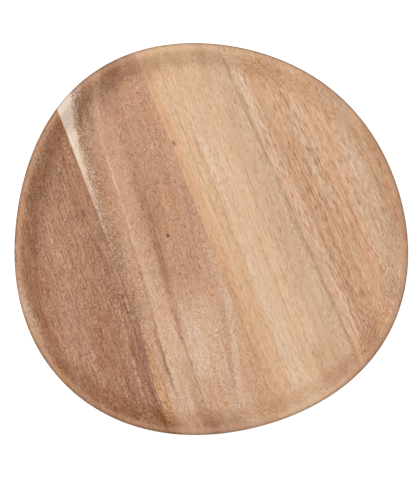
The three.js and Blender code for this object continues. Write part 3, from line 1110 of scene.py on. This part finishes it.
def speckle_effect(name):
    """Short worm-like dashes along the fibres, which close up as the density rises. A mask."""
    inputs = {"Fibre": None, "Width": 1.0, "Length": 1.0, "Density": 0.3}
    wiring, entry, leave = new_effect(name, inputs, {"Mask": NUMBER})
    grain = wiring.noise(dash_place(wiring, entry), roughness=SPECKLE_ROUGHNESS)
    low = wiring.math("MULTIPLY_ADD", entry["Density"], -SPECKLE_FALL, SPECKLE_THRESHOLD)
    high = wiring.math("ADD", low, SPECKLE_SOFTNESS)
    wiring.feed(leave["Mask"], wiring.step(grain, low, high))
    return wiring.tree


def pores_effect(name):
    """Separate open pores, longer along the fibres, in some of the places where one could be. A mask."""
    inputs = {"Fibre": None, "Width": 1.0, "Length": 1.0, "Share": 0.5}
    wiring, entry, leave = new_effect(name, inputs, {"Mask": NUMBER})
    cell_inputs = {"Vector": dash_place(wiring, entry), "Scale": 1.0, "Randomness": PORE_SCATTER}
    cells = wiring.add("ShaderNodeTexVoronoi", cell_inputs).outputs
    chance = wiring.add("ShaderNodeSeparateColor", {"Color": cells["Color"]}).outputs["Red"]
    chosen = wiring.math("LESS_THAN", chance, entry["Share"])
    dash = wiring.math("SUBTRACT", 1.0, wiring.step(cells["Distance"], *PORE_STEP))
    wiring.feed(leave["Mask"], wiring.math("MULTIPLY", dash, chosen))
    return wiring.tree


def surface_effect(name):
    """Masks of the end grain, of the lip that handling has polished, and of the lip's outer edge, where shade
    is painted.

    The polish and the painted edge shade each come in between two heights.
    """
    inputs = {"Polish Low": 0.0, "Polish High": 1.0, "Edge Shade Low": 0.0, "Edge Shade High": 1.0}
    wiring, entry, leave = new_effect(name, inputs, {"End Grain": NUMBER, "Lip": NUMBER, "Edge": NUMBER})
    coordinates = wiring.add("ShaderNodeTexCoord").outputs
    facing = wiring.add("ShaderNodeSeparateXYZ", {"Vector": coordinates["Normal"]}).outputs
    height = wiring.add("ShaderNodeSeparateXYZ", {"Vector": coordinates["Object"]}).outputs["Z"]
    wiring.feed(leave["End Grain"], wiring.step(wiring.math("ABSOLUTE", facing["Y"]), *END_GRAIN_STEP))
    wiring.feed(leave["Lip"], wiring.step(height, entry["Polish Low"], entry["Polish High"]))
    # Painted shade: the outer round of the lip is darkened where it faces outwards
    outwards = wiring.vector_math("MULTIPLY", coordinates["Object"], (1, 1, 0))
    outwards = wiring.vector_math("NORMALIZE", outwards, (0, 0, 0))
    facing_out = wiring.vector_math("DOT_PRODUCT", coordinates["Normal"], outwards)
    on_shaded_round = wiring.step(height, entry["Edge Shade Low"], entry["Edge Shade High"])
    wiring.feed(leave["Edge"], wiring.math("MULTIPLY", wiring.step(facing_out, *EDGE_SHADE_STEP), on_shaded_round))
    return wiring.tree


EFFECTS = {
    "Grain space": grain_space_effect,
    "Streak": streak_effect,
    "Spot": spot_effect,
    "Figure": figure_effect,
    "Speckle": speckle_effect,
    "Pores": pores_effect,
    "Surface": surface_effect,
}


# Materials


def paint(colours, name):
    """A named colour as a shader socket takes it."""
    return (*getattr(colours, name), 1.0)


def new_material(name):
    material = bpy.data.materials.new(name)
    material.use_nodes = True
    wiring = Wiring(material.node_tree)
    shader = material.node_tree.nodes["Principled BSDF"]
    return material, wiring, shader


def ground_colour(wiring, bands, colours, fibre):
    """The stave's ground colour: its bands, blended across the grain."""
    across = wiring.add("ShaderNodeSeparateXYZ", {"Vector": fibre}).outputs["X"]
    first = bands[0].across
    reach = bands[-1].across - first
    share = wiring.math("DIVIDE", wiring.math("SUBTRACT", across, first), reach)
    ramp = wiring.add("ShaderNodeValToRGB", {"Fac": share})
    ramp.color_ramp.interpolation = "EASE"
    stops = ramp.color_ramp.elements
    while len(stops) < len(bands):
        stops.new(1.0)
    for stop, band in zip(stops, bands):
        stop.position = (band.across - first) / reach
        stop.color = paint(colours, band.colour)
    return ramp.outputs["Color"]


def add_streaks(wiring, streaks, colours, grain, wood, density):
    """Lays streaks over the wood. Gives the new colour, and how close the speckles then lie."""
    patches = wiring.step(wiring.noise(wiring.stretched(grain["Fibre"], PATCH_SIZE)), *PATCH_STEP)
    for streak in streaks:
        inputs = {
            "Across": grain["Across"],
            "Along": grain["Along"],
            "Middle": streak.across,
            "Width": streak.width,
            "Lean": streak.lean,
            "Bow": streak.bow,
            "Taper": streak.taper,
            "Left Edge": streak.soft[0],
            "Right Edge": streak.soft[1],
            "Low End": streak.ends[0],
            "High End": streak.ends[1],
            "End Fade": streak.fade,
            "Patches": wiring.math("MULTIPLY_ADD", patches, streak.patchy, 1 - streak.patchy),
        }
        mask = wiring.effect("Streak", inputs)["Mask"]
        wood = wiring.stain(wood, paint(colours, streak.colour), mask, streak.strength)
        if streak.speckled:
            density = wiring.math("MULTIPLY_ADD", mask, streak.speckled, density)
    return wood, density


def add_figure(wiring, look, figure, surface, wood):
    """Shades the wood with its figure. Darker wood is richer in colour, and bands are paler or richer.

    The figure is fainter on the polished lip, and the end grain is a little darker.
    """
    shade = wiring.math("MULTIPLY", figure["Fine"], look.fine)
    shade = wiring.math("MULTIPLY_ADD", figure["Medium"], look.medium, shade)
    shade = wiring.math("MULTIPLY_ADD", figure["Broad"], look.broad, shade)
    shade = wiring.math("MULTIPLY_ADD", figure["Lines"], look.lines, shade)
    shade = wiring.math("MULTIPLY", shade, wiring.math("MULTIPLY_ADD", surface["Lip"], -LIP_SMOOTHING, 1.0))
    gamma = wiring.math("ADD", shade, 1.0)
    wood = wiring.add("ShaderNodeGamma", {"Color": wood, "Gamma": gamma}).outputs["Color"]
    light = wiring.math("MULTIPLY_ADD", shade, -FIGURE_SHADE, 1.0)
    light = wiring.math("MULTIPLY_ADD", surface["End Grain"], -END_GRAIN_SHADE, light)
    rich = wiring.math("MULTIPLY_ADD", figure["Tint"], look.tint, 1.0)
    inputs = {"Color": wood, "Saturation": rich, "Value": light}
    return wiring.add("ShaderNodeHueSaturation", inputs).outputs["Color"]


def dash_inputs(fibre, dashes):
    """The inputs that speckle and pores have in common."""
    return {"Fibre": fibre, "Width": dashes.width, "Length": dashes.length}


def add_dashes(wiring, look, colours, fibre, wood, density):
    """Adds soft speckle and separate open pores. Gives the new colour, and the mask of the pores."""
    inputs = {**dash_inputs(fibre, look.speckle), "Density": density}
    speckle = wiring.effect("Speckle", inputs)["Mask"]
    wood = wiring.stain(wood, paint(colours, "umber"), speckle, look.speckle.strength)
    share = wiring.math("MULTIPLY", density, look.pores.density / look.speckle.density)
    share = wiring.math("MINIMUM", share, PORE_LIMIT * look.pores.density)
    inputs = {**dash_inputs(fibre, look.pores), "Share": share}
    pores = wiring.effect("Pores", inputs)["Mask"]
    wood = wiring.stain(wood, paint(colours, "pore"), pores, look.pores.strength)
    return wood, pores


def knot_spot(knot):
    """The dark wood of the pin knot."""
    return Spot("knot", knot.across / MM, knot.along / MM, knot.stain / MM, stretch=1.2, strength=0.85)


def add_spots(wiring, spots, colours, grain, wood):
    """Sets the small dark spots into the wood."""
    for spot in spots:
        inputs = {
            "Fibre": grain["Fibre"],
            "Across": grain["Across"],
            "Along": grain["Along"],
            "Middle": spot.across,
            "Place": spot.along,
            "Radius": spot.radius,
            "Stretch": spot.stretch,
        }
        mask = wiring.effect("Spot", inputs)["Mask"]
        wood = wiring.stain(wood, paint(colours, spot.colour), mask, spot.strength)
    return wood


def lip_heights(rim):
    """Where the lip's polish and the painted shade on its outer edge come in."""
    round_foot = rim.plate_height - rim.lip_outer_round
    fade = EDGE_SHADE_FADE * rim.lip_outer_round
    return {
        "Polish Low": rim.plate_height - POLISHED_DEPTH,
        "Polish High": rim.plate_height,
        "Edge Shade Low": round_foot - fade,
        "Edge Shade High": round_foot + fade,
    }


def wood_material(look, scene):
    """One stave's wood: ground colour, streaks, polished lip, figure, painted edge shade, dashes and spots.
    """
    colours = scene.plate_colours
    rim = scene.plate_rim
    material, wiring, shader = new_material(look.node + "_wood")
    grain_inputs = {
        "Floor Height": rim.floor_thickness / MM,
        "Lean": look.grain.lean,
        "Ring Tilt": look.grain.ring_tilt,
        "Sway": look.grain.sway,
    }
    grain = wiring.effect("Grain space", grain_inputs)
    fibre = grain["Fibre"]
    stretches = {"Fine Stretch": look.figure.fine_stretch, "Stretch": look.figure.stretch}
    figure = wiring.effect("Figure", {"Fibre": fibre, **stretches})
    surface = wiring.effect("Surface", lip_heights(rim))

    wood = ground_colour(wiring, look.bands, colours, fibre)
    wood, density = add_streaks(wiring, look.streaks, colours, grain, wood, look.speckle.density)
    wood = wiring.stain(wood, paint(colours, look.lip), surface["Lip"], LIP_TINT)
    wood, density = add_streaks(wiring, look.lip_streaks, colours, grain, wood, density)
    wood = add_figure(wiring, look.figure, figure, surface, wood)
    # Painted shade: umber darkens the lip's outer edge, most on the right stave, away from the side lamp
    wood = wiring.stain(wood, paint(colours, "umber"), surface["Edge"], look.edge)
    wood, pores = add_dashes(wiring, look, colours, fibre, wood, density)
    knots = (knot_spot(scene.plate_knot),) if look.has_knot else ()
    wood = add_spots(wiring, look.spots + knots, colours, grain, wood)

    wiring.feed(shader.inputs["Base Color"], wood)
    rough = wiring.math("MULTIPLY_ADD", figure["Medium"], MEDIUM_ROUGHNESS, WOOD_ROUGHNESS)
    wiring.feed(shader.inputs["Roughness"], wiring.math("MULTIPLY_ADD", pores, PORE_ROUGHNESS, rough))
    relief = wiring.math("SUBTRACT", wiring.math("MULTIPLY", figure["Fine"], FINE_RELIEF), pores)
    inputs = {"Height": relief, "Strength": RELIEF_STRENGTH, "Distance": PORE_DEPTH}
    wiring.feed(shader.inputs["Normal"], wiring.add("ShaderNodeBump", inputs).outputs["Normal"])
    return material


def glue_material(colours):
    """Cured glue, sanded flush: amber brown, with a little wood dust in it."""
    material, wiring, shader = new_material("cured_glue")
    fibre = wiring.effect("Grain space", {})["Fibre"]
    inputs = {**dash_inputs(fibre, GLUE_DUST), "Density": GLUE_DUST.density}
    dust = wiring.effect("Speckle", inputs)["Mask"]
    glue = wiring.stain(paint(colours, "glue"), paint(colours, "umber"), dust, GLUE_DUST.strength)
    wiring.feed(shader.inputs["Base Color"], glue)
    rough = wiring.math("MULTIPLY_ADD", dust, DUST_ROUGHNESS, GLUE_ROUGHNESS)
    wiring.feed(shader.inputs["Roughness"], rough)
    return material


def floor_material(stage):
    """A pale matt table top that is lit a little from within, as a light table is, and clear from below."""
    material, wiring, shader = new_material("pale_floor")
    place = wiring.add("ShaderNodeTexCoord").outputs["Object"]
    cloud = wiring.noise(wiring.vector_math("MULTIPLY", place, (CLOUDS_PER_METRE,) * 3))
    pale = (*stage.floor_colour, 1.0)
    dimmer = tuple(CLOUD_SHADE * channel for channel in stage.floor_colour) + (1.0,)
    wiring.feed(shader.inputs["Base Color"], wiring.mix(cloud, pale, dimmer))
    shader.inputs["Roughness"].default_value = FLOOR_ROUGHNESS
    shader.inputs["Specular IOR Level"].default_value = FLOOR_SHINE
    shader.inputs["Emission Color"].default_value = pale
    shader.inputs["Emission Strength"].default_value = FLOOR_GLOW
    from_below = wiring.add("ShaderNodeNewGeometry").outputs["Backfacing"]
    clear = wiring.add("ShaderNodeBsdfTransparent").outputs["BSDF"]
    surface = wiring.add("ShaderNodeMixShader", {"Fac": from_below})
    wiring.feed(surface.inputs[1], shader.outputs["BSDF"])
    wiring.feed(surface.inputs[2], clear)
    wiring.feed(material.node_tree.nodes["Material Output"].inputs["Surface"], surface.outputs["Shader"])
    return material


# Stage


def add_lamp(name, place, width, power):
    """A square soft lamp that faces the plate."""
    deselect_all()
    bpy.ops.object.light_add(type="AREA", location=place)
    lamp = bpy.context.object
    lamp.name = name
    lamp.data.shape = "SQUARE"
    lamp.data.size = width
    lamp.data.energy = power
    to_plate = Vector((0, 0, 0)) - Vector(place)
    lamp.rotation_euler = to_plate.to_track_quat("-Z", "Y").to_euler()


def add_floor(stage):
    """A floor just under the plate, which throws no light back at it."""
    deselect_all()
    bpy.ops.mesh.primitive_plane_add(size=2 * stage.floor_reach, location=(0, 0, -stage.floor_gap))
    floor = bpy.context.object
    floor.name = "floor"
    floor.visible_diffuse = False
    floor.visible_glossy = False
    floor.visible_shadow = False
    floor.data.materials.append(floor_material(stage))


def add_lights(stage):
    """A white room, a broad lamp overhead, and a weaker one from the upper left of the image."""
    world = bpy.data.worlds.new("white_room")
    world.use_nodes = True
    background = world.node_tree.nodes["Background"]
    background.inputs["Color"].default_value = (1, 1, 1, 1)
    background.inputs["Strength"].default_value = ROOM_LIGHT
    bpy.context.scene.world = world

    far = stage.light_distance
    add_lamp("overhead_lamp", (0, 0, far), OVERHEAD_WIDTH, OVERHEAD_POWER)
    left = Vector((-math.cos(stage.view_turn), -math.sin(stage.view_turn), 0))
    up = Vector((-math.sin(stage.view_turn), math.cos(stage.view_turn), 0))
    aside = (left + SIDE_UP * up).normalized()
    place = far * (SIDE_SHARE * aside + Vector((0, 0, SIDE_SHARE)))
    add_lamp("left_lamp", place, SIDE_WIDTH, SIDE_POWER)


def add_camera(stage, rim):
    """A long lens straight above, turned as the image is."""
    deselect_all()
    place = (stage.view_across, stage.view_along, rim.plate_height + stage.view_distance)
    bpy.ops.object.camera_add(location=place, rotation=(0, 0, stage.view_turn))
    camera = bpy.context.object
    camera.name = "camera"
    camera.data.lens = camera.data.sensor_width * stage.view_distance / stage.view_height
    camera.data.clip_end = CLIP_REACH * stage.view_distance
    bpy.context.scene.camera = camera


# Operators and panel


class PLATE_OT_staves(bpy.types.Operator):
    """Model the four staves, each sawn from a copy of the blank between its joints"""

    bl_idname = "plate.staves"
    bl_label = "Staves"
    bl_options = {"REGISTER", "UNDO"}

    def execute(self, context):
        scene = context.scene
        joints = scene.plate_joints
        half_joint = joints.film / 2 + joints.clearance
        lines = joint_lines(joints)
        blank = model_blank(scene)
        for number, look in enumerate(STAVE_LOOKS):
            left = lines[number - 1].moved(half_joint) if number > 0 else None
            right = lines[number].moved(-half_joint) if number < len(lines) else None
            piece = copy_of(blank, look.node + "_wood")
            saw_between(piece, left, right)
            if look.has_knot:
                sink_knot_pit(piece, scene.plate_knot, scene.plate_rim.floor_thickness)
            smooth_by_angle(piece)
            dress(piece, look.node, wood_material(look, scene))
        bpy.data.objects.remove(blank)
        return {"FINISHED"}


class PLATE_OT_glue_lines(bpy.types.Operator):
    """Model the three cured glue films between the staves"""

    bl_idname = "plate.glue_lines"
    bl_label = "Glue lines"
    bl_options = {"REGISTER", "UNDO"}

    def execute(self, context):
        scene = context.scene
        joints = scene.plate_joints
        blank = model_blank(scene)
        material = glue_material(scene.plate_colours)
        for node, line in zip(GLUE_LINES, joint_lines(joints)):
            piece = copy_of(blank, node + "_film")
            saw_between(piece, line.moved(-joints.film / 2), line.moved(joints.film / 2))
            smooth_by_angle(piece)
            dress(piece, node, material)
        bpy.data.objects.remove(blank)
        return {"FINISHED"}


class PLATE_OT_stage(bpy.types.Operator):
    """Set out the pale floor, the soft light and the camera"""

    bl_idname = "plate.stage"
    bl_label = "Stage"
    bl_options = {"REGISTER", "UNDO"}

    def execute(self, context):
        scene = context.scene
        add_floor(scene.plate_stage)
        add_lights(scene.plate_stage)
        add_camera(scene.plate_stage, scene.plate_rim)
        scene.view_settings.view_transform = "Standard"
        return {"FINISHED"}


class PLATE_PT_panel(bpy.types.Panel):
    """The plate's sizes and colours, and the buttons that model it"""

    bl_label = "Wooden Plate"
    bl_idname = "PLATE_PT_panel"
    bl_space_type = "VIEW_3D"
    bl_region_type = "UI"
    bl_category = "Plate"

    def draw(self, context):
        for title, attribute, kind in SETTINGS:
            box = self.layout.box()
            box.label(text=title)
            for name in kind.__annotations__:
                box.prop(getattr(context.scene, attribute), name)
        for operator in OPERATORS:
            self.layout.operator(operator.bl_idname)


SETTINGS = (
    ("Outline", "plate_outline", OutlineSizes),
    ("Rim", "plate_rim", RimSizes),
    ("Joints", "plate_joints", JointSizes),
    ("Pin knot", "plate_knot", KnotSizes),
    ("Wood colours", "plate_colours", WoodColours),
    ("Stage", "plate_stage", StageSettings),
)
OPERATORS = (PLATE_OT_staves, PLATE_OT_glue_lines, PLATE_OT_stage)


def register():
    for _, attribute, kind in SETTINGS:
        bpy.utils.register_class(kind)
        setattr(bpy.types.Scene, attribute, PointerProperty(type=kind))
    for operator in OPERATORS:
        bpy.utils.register_class(operator)
    bpy.utils.register_class(PLATE_PT_panel)


def unregister():
    bpy.utils.unregister_class(PLATE_PT_panel)
    for operator in reversed(OPERATORS):
        bpy.utils.unregister_class(operator)
    for _, attribute, kind in reversed(SETTINGS):
        delattr(bpy.types.Scene, attribute)
        bpy.utils.unregister_class(kind)


def main():
    register()
    bpy.ops.plate.staves()
    bpy.ops.plate.glue_lines()
    bpy.ops.plate.stage()


if __name__ == "__main__":
    main()
